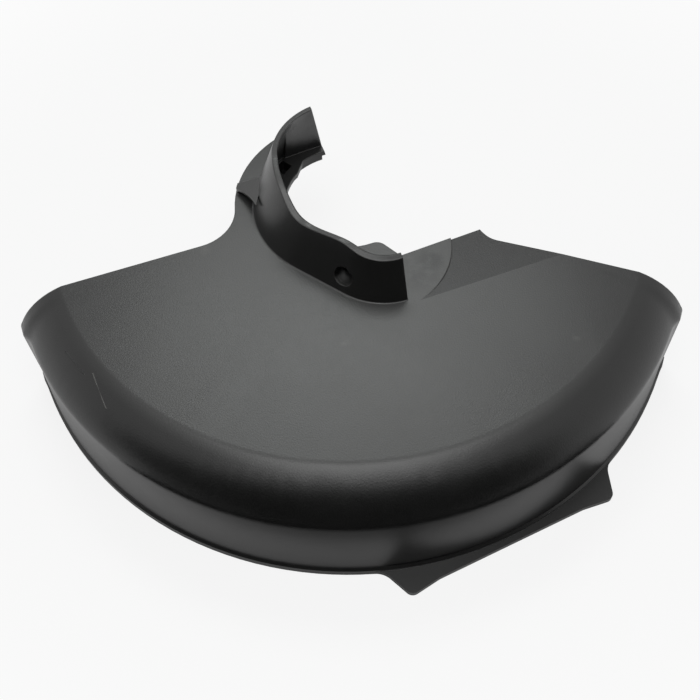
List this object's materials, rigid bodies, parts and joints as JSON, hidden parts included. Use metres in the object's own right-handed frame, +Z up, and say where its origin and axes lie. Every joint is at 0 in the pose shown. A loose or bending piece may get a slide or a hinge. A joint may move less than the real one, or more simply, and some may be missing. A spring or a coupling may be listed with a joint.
{
  "type": "trimmer blade guard",
  "caption": "Fan-shaped moulded guard with a rolled skirt, raised rear edges, a straight knife seat and an open leaning collar that clips round a trimmer head.",
  "frame": {"origin": "head axis at the top face of the flat plate", "axes": "+Z up along the head axis towards the trimmer's motor, -Y from the head axis to the middle of the skirt"},
  "size_m": [0.2922, 0.2128, 0.0919],
  "materials": {
    "moulding": "matte satin with a fine moulded grain"
  },
  "bodies": {
    "root": {"blade_guard": "moulding"}
  },
  "joints": []
}
